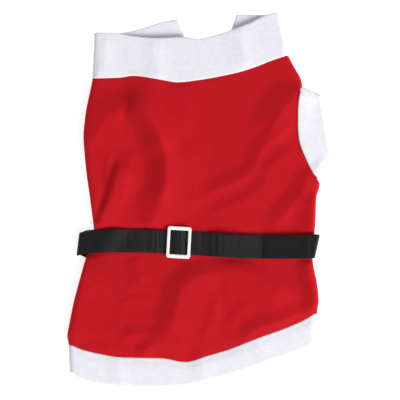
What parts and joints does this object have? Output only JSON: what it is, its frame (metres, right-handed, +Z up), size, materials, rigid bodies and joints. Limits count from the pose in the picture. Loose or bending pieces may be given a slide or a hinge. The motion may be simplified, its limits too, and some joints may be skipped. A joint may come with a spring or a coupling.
{
  "type": "dog santa costume",
  "caption": "Dog coat in red fleece with white fleece bands at neck, hem and leg holes and a black belt with a white buckle, laid flat on its chest side.",
  "frame": {"origin": "on the surface that the coat lies on, under the middle of its bounding box", "axes": "+Y along the back towards the neck, +X to the coat's right as seen from above, +Z up off the surface"},
  "size_m": [0.2762, 0.3892, 0.0249],
  "materials": {
    "red_fleece": "short-napped polyester fleece",
    "white_fleece": "soft thick-napped polyester fleece, doubled",
    "black_belt_cloth": "close-woven polyester, slightly satin",
    "white_plastic": "moulded, glossy"
  },
  "bodies": {
    "root": {"back_panel": "red_fleece", "chest_panel": "red_fleece", "neck_band": "white_fleece", "hem_band": "white_fleece", "cuff_right": "white_fleece", "cuff_left": "white_fleece", "belt": "black_belt_cloth", "buckle": "white_plastic"}
  },
  "joints": []
}
